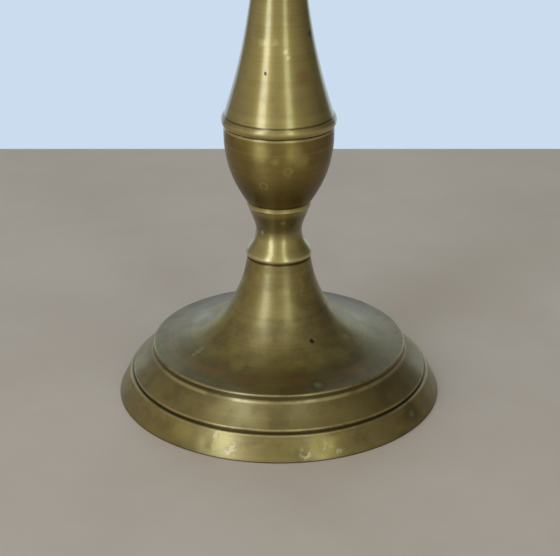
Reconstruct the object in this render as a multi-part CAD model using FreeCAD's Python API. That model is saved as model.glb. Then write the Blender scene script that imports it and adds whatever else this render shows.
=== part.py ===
import FreeCAD, Part
import math
import os

# Altar candlestick: turned brass sections stacked on one steel tie rod.
# Millimetres. +Z is up, the origin is the centre of the circle that the foot stands on.
# Every section is turned about the Z axis. It has a spigot below that drops into a
# recess in the top of the section under it, and two nuts on the rod pull them together.
#
# A pair such as (97.8, 17.6) says how a curve leaves or reaches a point: its direction
# in degrees from straight outwards (90 is straight up) and how far that pull reaches.

# fits that all sections share
fit_gap = 0.05            # radial clearance of a spigot in its recess
end_gap = 0.3             # space left under the end of a spigot
nozzle_gap = 0.08         # radial running clearance of the lift-out nozzle
edge_break = 0.25         # small chamfer that makes each seam show as a fine line
cutter_margin = 1.0       # how far a cutting shape runs past the metal

# tie rod and its fastenings (M6)
rod_radius = 3.0
rod_clearance = 0.5
rod_overhang = 2.0        # bare thread past each nut
rod_chamfer = 0.6
foot_nut_flats = 10.0
foot_nut_height = 5.0
cup_nut_flats = 10.0
cup_nut_height = 4.0
spring_washer_radius = 5.6
spring_washer_height = 1.6
spring_washer_slot = 1.2
spring_washer_slant = 25.0
plate_washer_radius = 9.0
plate_washer_height = 1.6
cup_washer_radius = 6.4
cup_washer_height = 1.0

# spigot that locates each solid section
spigot_radius = 6.0
spigot_length = 3.0

# foot: bevelled rim, ledge, cone, upright step, then a long hollow curve up to the neck
foot_radius = 55.0
foot_wall = 3.0
foot_rim_land = 2.6
rim_round = 0.45
bevel_inset = 3.8
bevel_height = 7.9
ledge_width = 1.15
ledge_step = 1.1
step_lean = 0.09          # how much each upright step leans in, as a share of its height
cone_inset = 6.7
cone_height = 6.6
cone_sag = 0.35           # hollow of the cone below a straight line
disc_step = 2.25
neck_radius = 10.6
trumpet_height = 31.2     # from the edge of the upper disc to the neck seam
trumpet_from_disc = (173.5, 21.4)
trumpet_to_neck = (97.8, 17.6)
hub_depth = 13.0          # solid metal under the neck seam

# reel between foot and bowl
reel_lip_overhang = 0.4   # beyond the neck of the foot
reel_lip_swell = 0.28     # outward from the seam to the middle of the lip
reel_lip_height = 1.5
reel_waist_radius = 7.65
reel_flare_height = 8.0
reel_flare_from_lip = (100, 2.3)
reel_flare_to_waist = (90, 4.6)
reel_cove_height = 8.3
reel_cove_from_waist = (84, 2.6)
reel_cove_to_band = (72, 3.4)
reel_band_radius = 10.65
reel_band_height = 2.1

# bowl, the egg-shaped knop
bowl_base_overhang = 0.35 # beyond the band of the reel
bowl_radius = 18.05
bowl_wall = 3.0
bowl_floor = 4.5
bowl_curve_height = 23.5
bowl_from_base = (57, 9.2)
bowl_to_collar = (90, 9.4)
bowl_collar_height = 2.1
bowl_edge_break = 0.45

# stem: half-round bead, groove and a long hollow taper to the upper neck
bead_overhang = 0.75      # beyond the bowl
bead_shoulder = 0.25      # where the round of the bead starts, beyond the bowl
bead_height = 2.95
groove_inset = 0.2        # inside the bowl's radius
groove_height = 0.35      # from the top of the bead to the start of the taper
taper_height = 61.9
taper_from_groove = (108.3, 20.7)
taper_to_neck = (88, 20.5)
stem_wall = 2.6
stem_register_length = 2.5
upper_neck_radius = 8.0
stem_flare_height = 9.0
stem_flare_from_neck = (90, 4.0)
stem_flare_to_lip = (75, 3.0)
stem_lip_radius = 10.2
stem_lip_height = 1.5
stem_web = 16.0           # solid metal at the top of the stem

# ring knop above the stem
ring_knop_radius = 13.2
ring_knop_height = 8.0
ring_shoulder = 0.4       # beyond the fillets, where the round of the ring starts
ring_fillet_radius = 9.6
ring_fillet_height = 1.3

# stalk that carries the drip pan
stalk_foot_inset = 0.6    # inside the fillet of the ring knop
stalk_waist_radius = 6.9
stalk_waist_share = 0.4   # height of the waist, as a share of the cove
stalk_cove_height = 10.6
stalk_cove_from_foot = (110, 1.6)
stalk_cove_to_waist = (90, 1.8)
stalk_cove_from_waist = (90, 3.2)
stalk_cove_to_seat = (40, 3.2)
stalk_seat_radius = 12.4
stalk_seat_height = 1.6

# drip pan
pan_radius = 31.0
pan_sheet = 1.6
pan_floor_radius = 23.0
pan_depth = 5.6
pan_from_floor = (0, 4.2)
pan_to_rim = (90, 3.6)
pan_from_bead = (-90, 3.4)
pan_to_dish = (180, 3.4)
pan_bead_radius = 1.3

# candle cup
cup_foot_radius = 11.2
cup_foot_height = 1.6
cup_foot_round = 0.5
cup_waist_radius = 9.4
cup_wall = 2.9
cup_base = 10.5           # solid metal under the floor of the cup
cup_waist_height = 4.8
cup_belly_height = 12.6   # where the side of the cup becomes upright
cup_from_foot = (120, 1.2)
cup_to_waist = (90, 1.2)
cup_from_waist = (30, 4.0)
cup_to_belly = (90, 4.4)
cup_depth = 29.0
cup_lip_height = 2.4
cup_lip_overhang = 1.2
cup_lip_round = 0.3

# lift-out nozzle for a 22 mm candle
candle_radius = 11.0
candle_gap = 0.2
nozzle_wall = 1.3
nozzle_floor = 1.5
nozzle_length = 21.5      # reach of the tube into the cup
nozzle_chamfer = 0.5
nozzle_flange_radius = 20.0
nozzle_flange_sheet = 1.6
nozzle_flange_rise = 2.0
flange_from_cup = (0, 1.6)
flange_to_edge = (60, 1.2)
flange_back_from_edge = (235, 1.4)
flange_back_to_mouth = (180, 1.6)


# heights of the seams, from the foot upwards
disc_edge_height = bevel_height + ledge_step + cone_height + disc_step
foot_top = disc_edge_height + trumpet_height
reel_top = foot_top + reel_lip_height + reel_flare_height + reel_cove_height + reel_band_height
bowl_top = reel_top + bowl_curve_height + bowl_collar_height
taper_base = bowl_top + edge_break + bead_height + groove_height
taper_top = taper_base + taper_height
stem_top = taper_top + stem_flare_height + stem_lip_height
knop_top = stem_top + 2 * ring_fillet_height + ring_knop_height
stalk_top = knop_top + stalk_cove_height + stalk_seat_height
pan_floor_top = stalk_top + pan_sheet
cup_floor = pan_floor_top + cup_base
cup_top = cup_floor + cup_depth

# radii and heights that follow from the fits
rod_bore_radius = rod_radius + rod_clearance
recess_radius = spigot_radius + fit_gap
recess_depth = spigot_length + end_gap
hub_underside = foot_top - hub_depth
bore_radius = candle_radius + candle_gap
nozzle_radius = bore_radius + nozzle_wall
cup_bore_radius = nozzle_radius + nozzle_gap
cup_radius = cup_bore_radius + cup_wall
reel_lip_radius = neck_radius + reel_lip_overhang
bowl_base_radius = reel_band_radius + bowl_base_overhang
bowl_mouth_radius = bowl_radius - bowl_wall
bead_radius = bowl_radius + bead_overhang
bead_shoulder_radius = bowl_radius + bead_shoulder
groove_radius = bowl_radius - groove_inset
register_radius = bowl_mouth_radius - fit_gap
foot_nut_top = hub_underside - plate_washer_height - spring_washer_height
rod_bottom = foot_nut_top - foot_nut_height - rod_overhang
cup_nut_base = cup_floor + cup_washer_height
rod_top = cup_nut_base + cup_nut_height + rod_overhang


class Outline:
    """Half section of a turned piece: radius and height, walked round in order."""

    def __init__(self, radius, height):
        self.start = FreeCAD.Vector(radius, 0, height)
        self.here = self.start
        self.edges = []

    def line(self, radius, height):
        there = FreeCAD.Vector(radius, 0, height)
        self.edges.append(Part.makeLine(self.here, there))
        self.here = there
        return self

    def arc(self, middle, end):
        there = FreeCAD.Vector(end[0], 0, end[1])
        through = FreeCAD.Vector(middle[0], 0, middle[1])
        self.edges.append(Part.Arc(self.here, through, there).toShape())
        self.here = there
        return self

    def curve(self, first_pole, second_pole, end):
        there = FreeCAD.Vector(end[0], 0, end[1])
        bezier = Part.BezierCurve()
        poles = [FreeCAD.Vector(r, 0, z) for r, z in (first_pole, second_pole)]
        bezier.setPoles([self.here] + poles + [there])
        self.edges.append(bezier.toShape())
        self.here = there
        return self

    def sweep(self, leaving, end, reaching):
        first, second = poles_between((self.here.x, self.here.z), leaving, end, reaching)
        return self.curve(first, second, end)

    def turned(self):
        self.line(self.start.x, self.start.z)
        face = Part.Face(Part.Wire(self.edges))
        solid = face.revolve(FreeCAD.Vector(0, 0, 0), FreeCAD.Vector(0, 0, 1), 360)
        return Part.makeSolid(solid) if solid.ShapeType == "Shell" else solid


def poles_between(start, leaving, end, reaching):
    """The two inner poles of a curve, from its direction and reach at each end."""
    first = (start[0] + leaving[1] * math.cos(math.radians(leaving[0])),
             start[1] + leaving[1] * math.sin(math.radians(leaving[0])))
    second = (end[0] - reaching[1] * math.cos(math.radians(reaching[0])),
              end[1] - reaching[1] * math.sin(math.radians(reaching[0])))
    return first, second


def inset(points, distance):
    """Moves an open run of points inwards, square to its legs, with mitred corners."""
    normals = []
    for (r0, z0), (r1, z1) in zip(points, points[1:]):
        leg = math.hypot(r1 - r0, z1 - z0)
        normals.append((-(z1 - z0) / leg, (r1 - r0) / leg))
    moved = []
    for index, (radius, height) in enumerate(points):
        before = normals[max(index - 1, 0)]
        after = normals[min(index, len(normals) - 1)]
        shift = distance / (1 + before[0] * after[0] + before[1] * after[1])
        moved.append((radius + (before[0] + after[0]) * shift, height + (before[1] + after[1]) * shift))
    return moved


def disc(radius, bottom, height):
    return Part.makeCylinder(radius, height, FreeCAD.Vector(0, 0, bottom))


def slice_between(shape, bottom, top):
    """Keeps the part of a shape between two heights."""
    return shape.common(disc(2 * foot_radius, bottom, top - bottom))


def drilled(body):
    """Bores the body right through for the tie rod."""
    bore = disc(rod_bore_radius, -cutter_margin, rod_top + 2 * cutter_margin)
    return body.cut(bore).removeSplitter()


def recessed(body, seam):
    """Sinks the recess that takes the spigot of the section above."""
    return body.cut(disc(recess_radius, seam - recess_depth, recess_depth + cutter_margin))


def spigoted(body, seam, reach=spigot_length):
    return body.fuse(disc(spigot_radius, seam - reach, reach))


def rim_point(angle):
    """Point on the small rounding where the foot's rim meets the ground."""
    centre = foot_radius - rim_round
    return centre + rim_round * math.cos(angle), rim_round + rim_round * math.sin(angle)


def foot():
    bevel_top = (foot_radius - bevel_inset, bevel_height)
    ledge_in = bevel_top[0] - ledge_width
    cone_base = (ledge_in - step_lean * ledge_step, bevel_height + ledge_step)
    cone_top = (cone_base[0] - cone_inset, cone_base[1] + cone_height)
    disc_edge = (cone_top[0] - step_lean * disc_step, disc_edge_height)
    neck = (neck_radius, foot_top)
    round_end = math.atan2(bevel_inset, bevel_height)
    round_middle = 0.5 * (round_end - 0.5 * math.pi)
    cone_length = math.hypot(cone_inset, cone_height)
    cone_middle = (0.5 * (cone_base[0] + cone_top[0]) - cone_sag * cone_height / cone_length,
                   0.5 * (cone_base[1] + cone_top[1]) - cone_sag * cone_inset / cone_length)
    first, second = poles_between(disc_edge, trumpet_from_disc, neck, trumpet_to_neck)
    shell = Outline(0, 0).line(foot_radius - rim_round, 0)
    shell.arc(rim_point(round_middle), rim_point(round_end))
    shell.line(*bevel_top).line(ledge_in, bevel_height)
    shell.line(*cone_base).arc(cone_middle, cone_top).line(*disc_edge)
    shell.curve(first, second, (neck_radius, foot_top - edge_break))
    shell.line(neck_radius - edge_break, foot_top).line(0, foot_top)
    inside = inset([(foot_radius, 0), bevel_top, disc_edge, first, second, neck], foot_wall)
    rim_inside = foot_radius - foot_rim_land
    hollow = Outline(0, -cutter_margin).line(rim_inside, -cutter_margin).line(rim_inside, 0)
    hollow.line(*inside[1]).line(*inside[2]).curve(inside[3], inside[4], inside[5])
    hollow.line(0, inside[5][1])
    body = shell.turned().cut(slice_between(hollow.turned(), -cutter_margin, hub_underside))
    return drilled(recessed(body, foot_top))


def reel_knop():
    lip_top = foot_top + reel_lip_height
    waist = (reel_waist_radius, lip_top + reel_flare_height)
    band_base = waist[1] + reel_cove_height
    seam_radius = neck_radius - edge_break
    outline = Outline(0, foot_top).line(seam_radius, foot_top)
    outline.arc((0.5 * (seam_radius + reel_lip_radius) + reel_lip_swell, foot_top + 0.5 * reel_lip_height),
                (reel_lip_radius, lip_top))
    outline.sweep(reel_flare_from_lip, waist, reel_flare_to_waist)
    outline.sweep(reel_cove_from_waist, (reel_band_radius - edge_break, band_base), reel_cove_to_band)
    outline.line(reel_band_radius, band_base + edge_break).line(reel_band_radius, reel_top - edge_break)
    outline.line(reel_band_radius - edge_break, reel_top).line(0, reel_top)
    return drilled(spigoted(recessed(outline.turned(), reel_top), foot_top))


def acorn_bowl():
    base = (bowl_base_radius, reel_top)
    collar = (bowl_radius, reel_top + bowl_curve_height)
    first, second = poles_between(base, bowl_from_base, collar, bowl_to_collar)
    outline = Outline(0, reel_top).line(*base).curve(first, second, collar)
    outline.line(bowl_radius, bowl_top - bowl_edge_break).line(bowl_radius - bowl_edge_break, bowl_top)
    outline.line(0, bowl_top)
    inside = inset([base, first, second, collar], bowl_wall)
    hollow = Outline(0, inside[0][1]).line(*inside[0]).curve(inside[1], inside[2], inside[3])
    hollow.line(bowl_mouth_radius, bowl_top + cutter_margin).line(0, bowl_top + cutter_margin)
    hollow = slice_between(hollow.turned(), reel_top + bowl_floor, bowl_top + cutter_margin)
    return drilled(spigoted(outline.turned().cut(hollow), reel_top))


def stem():
    bead_base = bowl_top + edge_break
    bead_top = bead_base + bead_height
    taper_start = (groove_radius, taper_base)
    taper_end = (upper_neck_radius, taper_top)
    lip_base = taper_top + stem_flare_height
    first, second = poles_between(taper_start, taper_from_groove, taper_end, taper_to_neck)
    outline = Outline(0, bowl_top).line(bowl_radius - edge_break, bowl_top)
    outline.line(bead_shoulder_radius, bead_base)
    outline.arc((bead_radius, 0.5 * (bead_base + bead_top)), (bead_shoulder_radius, bead_top))
    outline.line(*taper_start).curve(first, second, taper_end)
    outline.sweep(stem_flare_from_neck, (stem_lip_radius, lip_base), stem_flare_to_lip)
    outline.line(stem_lip_radius, stem_top - edge_break)
    outline.line(stem_lip_radius - edge_break, stem_top).line(0, stem_top)
    inside = inset([taper_start, first, second, taper_end], stem_wall)
    register_base = bowl_top - stem_register_length
    hollow_radius = register_radius - stem_wall
    hollow = Outline(0, register_base - cutter_margin).line(hollow_radius, register_base - cutter_margin)
    hollow.line(hollow_radius, bowl_top)
    hollow.line(*inside[0]).curve(inside[1], inside[2], inside[3]).line(0, inside[3][1])
    hollow = slice_between(hollow.turned(), register_base - cutter_margin, stem_top - stem_web)
    register = disc(register_radius, register_base, stem_register_length)
    body = outline.turned().fuse(register).cut(hollow)
    return drilled(recessed(body, stem_top))


def neck_ring_knop():
    ring_base = stem_top + ring_fillet_height
    ring_top = ring_base + ring_knop_height
    shoulder = ring_fillet_radius + ring_shoulder
    outline = Outline(0, stem_top).line(ring_fillet_radius - edge_break, stem_top)
    outline.line(ring_fillet_radius, stem_top + edge_break).line(ring_fillet_radius, ring_base)
    outline.line(shoulder, ring_base)
    outline.arc((ring_knop_radius, 0.5 * (ring_base + ring_top)), (shoulder, ring_top))
    outline.line(ring_fillet_radius, ring_top).line(ring_fillet_radius, knop_top - edge_break)
    outline.line(ring_fillet_radius - edge_break, knop_top).line(0, knop_top)
    return drilled(spigoted(recessed(outline.turned(), knop_top), stem_top))


def pan_stalk():
    foot_edge = (ring_fillet_radius - stalk_foot_inset, knop_top + edge_break)
    waist = (stalk_waist_radius, knop_top + stalk_waist_share * stalk_cove_height)
    seat_base = stalk_top - stalk_seat_height
    outline = Outline(0, knop_top).line(foot_edge[0] - edge_break, knop_top).line(*foot_edge)
    outline.sweep(stalk_cove_from_foot, waist, stalk_cove_to_waist)
    outline.sweep(stalk_cove_from_waist, (stalk_seat_radius - edge_break, seat_base), stalk_cove_to_seat)
    outline.line(stalk_seat_radius, seat_base + edge_break).line(stalk_seat_radius, stalk_top - edge_break)
    outline.line(stalk_seat_radius - edge_break, stalk_top).line(0, stalk_top)
    return drilled(spigoted(recessed(outline.turned(), stalk_top), knop_top))


def drip_pan():
    rim_top = pan_floor_top + pan_depth
    rim_base = rim_top - 2 * pan_bead_radius
    rim_middle = rim_top - pan_bead_radius
    rim_outside = pan_radius - pan_bead_radius
    wall_inside = rim_outside - pan_sheet
    outline = Outline(recess_radius, stalk_top).line(pan_floor_radius, stalk_top)
    outline.sweep(pan_from_floor, (rim_outside, rim_base), pan_to_rim)
    outline.arc((pan_radius, rim_middle), (rim_outside, rim_top))
    outline.arc((0.5 * (wall_inside + rim_outside), rim_top - edge_break), (wall_inside, rim_middle))
    outline.sweep(pan_from_bead, (pan_floor_radius, pan_floor_top), pan_to_dish)
    outline.line(recess_radius, pan_floor_top)
    return outline.turned()


def candle_cup():
    foot_radius_top = cup_foot_radius - cup_foot_round
    foot_edge = pan_floor_top + cup_foot_height
    waist = (cup_waist_radius, pan_floor_top + cup_waist_height)
    lip_base = cup_top - cup_lip_height
    lip_radius = cup_radius + cup_lip_overhang
    outline = Outline(0, pan_floor_top).line(cup_foot_radius - edge_break, pan_floor_top)
    outline.arc((cup_foot_radius, pan_floor_top + 0.5 * cup_foot_height), (foot_radius_top, foot_edge))
    outline.sweep(cup_from_foot, waist, cup_to_waist)
    outline.sweep(cup_from_waist, (cup_radius, pan_floor_top + cup_belly_height), cup_to_belly)
    outline.line(cup_radius, lip_base).line(lip_radius - cup_lip_round, lip_base)
    outline.arc((lip_radius, 0.5 * (lip_base + cup_top)), (lip_radius - cup_lip_round, cup_top))
    outline.line(0, cup_top)
    body = outline.turned().cut(disc(cup_bore_radius, cup_floor, cup_depth + cutter_margin))
    return drilled(spigoted(body, pan_floor_top, spigot_length + pan_sheet))


def candle_nozzle():
    tube_bottom = cup_top - nozzle_length
    flange_top = cup_top + nozzle_flange_sheet
    edge_round = 0.5 * nozzle_flange_sheet
    edge_radius = nozzle_flange_radius - edge_round
    edge_base = cup_top + nozzle_flange_rise
    edge_top = edge_base + nozzle_flange_sheet
    outline = Outline(0, tube_bottom).line(nozzle_radius - nozzle_chamfer, tube_bottom)
    outline.line(nozzle_radius, tube_bottom + nozzle_chamfer).line(nozzle_radius, cup_top)
    outline.line(cup_radius, cup_top).sweep(flange_from_cup, (edge_radius, edge_base), flange_to_edge)
    outline.arc((nozzle_flange_radius, edge_base + edge_round), (edge_radius, edge_top))
    outline.sweep(flange_back_from_edge, (cup_radius - nozzle_chamfer, flange_top), flange_back_to_mouth)
    outline.line(bore_radius + nozzle_chamfer, flange_top).line(bore_radius, flange_top - nozzle_chamfer)
    outline.line(bore_radius, tube_bottom + nozzle_floor).line(0, tube_bottom + nozzle_floor)
    return outline.turned()


def tie_rod():
    outline = Outline(0, rod_bottom).line(rod_radius - rod_chamfer, rod_bottom)
    outline.line(rod_radius, rod_bottom + rod_chamfer).line(rod_radius, rod_top - rod_chamfer)
    outline.line(rod_radius - rod_chamfer, rod_top).line(0, rod_top)
    return outline.turned()


def washer(radius, bottom, height):
    bore = disc(rod_bore_radius, bottom - cutter_margin, height + 2 * cutter_margin)
    return disc(radius, bottom, height).cut(bore)


def spring_washer():
    ring = washer(spring_washer_radius, foot_nut_top, spring_washer_height)
    slot = Part.makeBox(spring_washer_radius, spring_washer_slot, 2 * spring_washer_height)
    slot.translate(FreeCAD.Vector(0, -0.5 * spring_washer_slot, foot_nut_top - 0.5 * spring_washer_height))
    slot.rotate(FreeCAD.Vector(0, 0, foot_nut_top), FreeCAD.Vector(1, 0, 0), spring_washer_slant)
    return ring.cut(slot)


def hex_nut(flats, bottom, height):
    """Hexagon with its corners turned off, and a bore that fills with the rod's thread."""
    corner = flats / math.sqrt(3)
    points = [FreeCAD.Vector(corner * math.cos(math.radians(60 * side)),
                             corner * math.sin(math.radians(60 * side)), bottom) for side in range(7)]
    prism = Part.Face(Part.makePolygon(points)).extrude(FreeCAD.Vector(0, 0, height))
    bevel = 0.5 * (corner - 0.5 * flats)
    turned_off = Outline(0, bottom).line(0.5 * flats, bottom).line(corner, bottom + bevel)
    turned_off.line(corner, bottom + height - bevel).line(0.5 * flats, bottom + height)
    turned_off.line(0, bottom + height)
    bore = disc(rod_radius, bottom - cutter_margin, height + 2 * cutter_margin)
    return prism.common(turned_off.turned()).cut(bore)


plate_washer_base = hub_underside - plate_washer_height

pieces = {
    "foot": foot(),
    "reel_knop": reel_knop(),
    "acorn_bowl": acorn_bowl(),
    "tapered_stem": stem(),
    "neck_ring_knop": neck_ring_knop(),
    "pan_stalk": pan_stalk(),
    "drip_pan": drip_pan(),
    "candle_cup": candle_cup(),
    "candle_nozzle": candle_nozzle(),
    "tie_rod": tie_rod(),
    "foot_plate_washer": washer(plate_washer_radius, plate_washer_base, plate_washer_height),
    "foot_spring_washer": spring_washer(),
    "foot_nut": hex_nut(foot_nut_flats, foot_nut_top - foot_nut_height, foot_nut_height),
    "cup_washer": washer(cup_washer_radius, cup_floor, cup_washer_height),
    "cup_nut": hex_nut(cup_nut_flats, cup_nut_base, cup_nut_height),
}

os.makedirs("parts", exist_ok=True)
for name, shape in pieces.items():
    solid = shape.Solids[0]
    solid.exportStep("parts/" + name + ".step")
    box = solid.optimalBoundingBox(False, False)
    print("%-20s solids %d valid %s  z %.2f to %.2f  radius %.2f  volume %.0f"
          % (name, len(shape.Solids), solid.isValid(), box.ZMin, box.ZMax, box.XMax, solid.Volume))
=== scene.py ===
import bpy
import math
import random
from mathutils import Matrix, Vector


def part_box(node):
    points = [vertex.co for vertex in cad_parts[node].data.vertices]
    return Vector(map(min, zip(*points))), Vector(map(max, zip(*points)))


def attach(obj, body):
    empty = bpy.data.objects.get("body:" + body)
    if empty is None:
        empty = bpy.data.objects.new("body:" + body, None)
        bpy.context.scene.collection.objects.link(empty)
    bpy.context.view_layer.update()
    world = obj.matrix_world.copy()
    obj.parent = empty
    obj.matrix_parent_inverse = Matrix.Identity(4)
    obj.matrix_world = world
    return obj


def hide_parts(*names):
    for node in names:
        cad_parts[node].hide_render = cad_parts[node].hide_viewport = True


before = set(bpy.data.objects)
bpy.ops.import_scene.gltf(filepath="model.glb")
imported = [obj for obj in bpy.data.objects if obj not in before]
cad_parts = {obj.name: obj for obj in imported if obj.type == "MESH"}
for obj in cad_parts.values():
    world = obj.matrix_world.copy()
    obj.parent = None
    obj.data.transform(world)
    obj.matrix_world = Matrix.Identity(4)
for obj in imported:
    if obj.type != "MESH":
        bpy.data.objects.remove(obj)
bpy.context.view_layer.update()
print("frame loaded with", len(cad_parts), "CAD nodes")


def mm(value):
    return value / 1000


def topOf(node):  # height of a CAD node's top, in millimetres
    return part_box(node)[1].z * 1000


def radiusOf(node):  # its greatest radius, in millimetres
    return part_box(node)[1].x * 1000


footTop = topOf("foot")
reelTop = topOf("reel_knop")
bowlTop = topOf("acorn_bowl")
stemTop = topOf("tapered_stem")
ringTop = topOf("neck_ring_knop")
stalkTop = topOf("pan_stalk")
cupTop = topOf("candle_cup")
seams = [0, footTop, reelTop, bowlTop, stemTop, ringTop, stalkTop, cupTop]

# what every turned section shares, in millimetres
fits = {
    "boreRadius": 3.5,       # hole for the tie rod
    "spigotRadius": 6.0,
    "spigotLength": 3.0,
    "recessRadius": 6.05,
    "recessDepth": 3.3,
    "edgeBreak": 0.25,       # small chamfer along each seam
}

# how the meshes are made, in millimetres and degrees
making = {
    "startSize": 0.1,        # the plane that is merged to the first point of an outline
    "weld": 0.001,           # points nearer to each other than this become one
    "cornerReach": 0.003,    # how near a vertex is to a corner that is rounded
    "cornerSegments": 4,
    "smoothUnder": 40,       # edges under this angle are shaded smooth
    "dentTip": 0.2,          # the vertices this near to a dent's place are pushed
    "dentLean": 0.5,         # how much a dent on a high place is pushed downwards as well as inwards
}


# An outline is a list of (radius, height) in millimetres. A third number rounds that corner.

def curvePoints(start, leaving, end, reaching, spacing):
    # leaving and reaching: degrees from straight outwards, and how far that pull reaches
    first = (start[0] + leaving[1] * math.cos(math.radians(leaving[0])),
             start[1] + leaving[1] * math.sin(math.radians(leaving[0])))
    second = (end[0] - reaching[1] * math.cos(math.radians(reaching[0])),
              end[1] - reaching[1] * math.sin(math.radians(reaching[0])))
    steps = max(4, round(math.dist(start[:2], end[:2]) / spacing))
    points = []
    for step in range(1, steps + 1):
        t = step / steps
        weights = ((1 - t) ** 3, 3 * t * (1 - t) ** 2, 3 * t * t * (1 - t), t ** 3)
        points.append(tuple(sum(w * p[axis] for w, p in zip(weights, (start, first, second, end)))
                            for axis in (0, 1)))
    return points


def linePoints(start, end, spacing):
    steps = max(1, round(math.dist(start[:2], end[:2]) / spacing))
    return [(start[0] + (end[0] - start[0]) * step / steps,
             start[1] + (end[1] - start[1]) * step / steps) for step in range(1, steps + 1)]


def bulgePoints(start, end, bulge, steps):  # a round swelling to the right of the way from start to end
    length = math.dist(start[:2], end[:2])
    side = ((end[1] - start[1]) / length, (start[0] - end[0]) / length)
    points = []
    for step in range(1, steps + 1):
        t = step / steps
        swell = 4 * bulge * t * (1 - t)
        points.append((start[0] + (end[0] - start[0]) * t + side[0] * swell,
                       start[1] + (end[1] - start[1]) * t + side[1] * swell))
    return points


def recessPoints(top):  # the recess that the next section's spigot sits in, as far as the bore
    return [(fits["recessRadius"], top), (fits["recessRadius"], top - fits["recessDepth"]),
            (fits["boreRadius"], top - fits["recessDepth"])]


def spigotPoints(base):  # from the bore round the end of the spigot under a section's base
    return [(fits["boreRadius"], base - fits["spigotLength"]),
            (fits["spigotRadius"], base - fits["spigotLength"])]


def halfRound(base, radius, steps):  # half a circle outwards, from base to the point straight above it
    return [(base[0] + radius * math.sin(math.pi * step / steps),
             base[1] + radius * (1 - math.cos(math.pi * step / steps))) for step in range(1, steps + 1)]


def toolMarked(points, depth, seed):  # each ring stands a little in or out, as a hand-held tool leaves it
    draw = random.Random(seed)
    marked = [points[0]]
    for before, point, after in zip(points, points[1:], points[2:]):
        length = math.dist(before[:2], after[:2])
        shift = draw.uniform(-depth, depth)
        marked.append((point[0] + shift * (after[1] - before[1]) / length,
                       point[1] - shift * (after[0] - before[0]) / length))
    return marked + [points[-1]]


def selectPoints(piece, isWanted):  # picks vertices by their place, from edit mode
    bpy.ops.mesh.select_all(action="DESELECT")
    bpy.ops.object.mode_set(mode="OBJECT")
    for point in piece.data.vertices:
        point.select = isWanted(point.co)
    bpy.ops.object.mode_set(mode="EDIT")


def turnPiece(name, outline, steps):  # draws the outline as a wire, rounds its corners and spins it
    bpy.ops.object.select_all(action="DESELECT")
    bpy.ops.mesh.primitive_plane_add(size=mm(making["startSize"]),
                                     location=(mm(outline[0][0]), 0, mm(outline[0][1])))
    piece = bpy.context.object
    piece.name = name
    piece.data.name = name
    bpy.ops.object.transform_apply(location=True, rotation=True, scale=True)
    bpy.ops.object.mode_set(mode="EDIT")
    bpy.ops.mesh.select_mode(type="VERT")
    bpy.ops.mesh.select_all(action="SELECT")
    bpy.ops.mesh.merge(type="CENTER")
    for before, point in zip(outline, outline[1:]):
        step = (mm(point[0] - before[0]), 0, mm(point[1] - before[1]))
        bpy.ops.mesh.extrude_region_move(TRANSFORM_OT_translate={"value": step})
    bpy.ops.mesh.select_all(action="SELECT")
    bpy.ops.mesh.remove_doubles(threshold=mm(making["weld"]))
    for corner in outline:
        if len(corner) > 2:
            place = Vector((mm(corner[0]), 0, mm(corner[1])))
            selectPoints(piece, lambda co: (co - place).length < mm(making["cornerReach"]))
            bpy.ops.mesh.bevel(offset=mm(corner[2]), offset_type="OFFSET", affect="VERTICES",
                               segments=making["cornerSegments"])
    bpy.ops.mesh.select_all(action="SELECT")
    bpy.ops.mesh.spin(steps=steps, angle=2 * math.pi, center=(0, 0, 0), axis=(0, 0, 1))
    bpy.ops.mesh.select_all(action="SELECT")
    bpy.ops.mesh.remove_doubles(threshold=mm(making["weld"]))
    bpy.ops.mesh.normals_make_consistent(inside=False)
    bpy.ops.object.mode_set(mode="OBJECT")
    bpy.ops.object.shade_smooth_by_angle(angle=math.radians(making["smoothUnder"]))
    return piece


def addWaves(piece, waves):  # years of hand polishing leave the skin slightly wavy; the seams stay true
    group = piece.vertex_groups.new(name="outerSkin")
    keep = [point.index for point in piece.data.vertices
            if math.hypot(point.co.x, point.co.y) > mm(waves["fromRadius"])
            and min(abs(point.co.z * 1000 - seam) for seam in seams) > waves["clearOfSeams"]]
    group.add(keep, 1, "REPLACE")
    clouds = bpy.data.textures.new("polishWaves", "CLOUDS")
    clouds.noise_scale = mm(waves["size"])
    bpy.ops.object.modifier_add(type="DISPLACE")
    displace = piece.modifiers[-1]
    displace.texture = clouds
    displace.texture_coords = "LOCAL"
    displace.vertex_group = group.name
    displace.strength = mm(waves["depth"])
    bpy.ops.object.modifier_apply(modifier=displace.name)
    piece.vertex_groups.clear()


def pressIn(piece, dents):  # a dent: its place, how far round it the metal moves, and how deep it is
    bpy.ops.object.mode_set(mode="EDIT")
    for place, reach, depth in dents:
        centre = Vector(place) / 1000
        inwards = -Vector((centre.x, centre.y, centre.z * making["dentLean"])).normalized() * mm(depth)
        nearest = min((point.co for point in piece.data.vertices),
                      key=lambda co: (co - centre).length).copy()
        selectPoints(piece, lambda co: (co - nearest).length < mm(making["dentTip"]))
        bpy.ops.transform.translate(value=inwards, use_proportional_edit=True,
                                    proportional_edit_falloff="SMOOTH", proportional_size=mm(reach))
    bpy.ops.object.mode_set(mode="OBJECT")


# materials

def fromHex(text):  # an sRGB hex colour, as the linear values that a shader takes
    parts = [int(text[place:place + 2], 16) / 255 for place in (1, 3, 5)]
    linear = [part / 12.92 if part <= 0.04045 else ((part + 0.055) / 1.055) ** 2.4 for part in parts]
    return tuple(linear) + (1,)


nodeLayout = {"across": 180, "down": 320, "perRow": 40}  # only for reading the node trees


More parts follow.
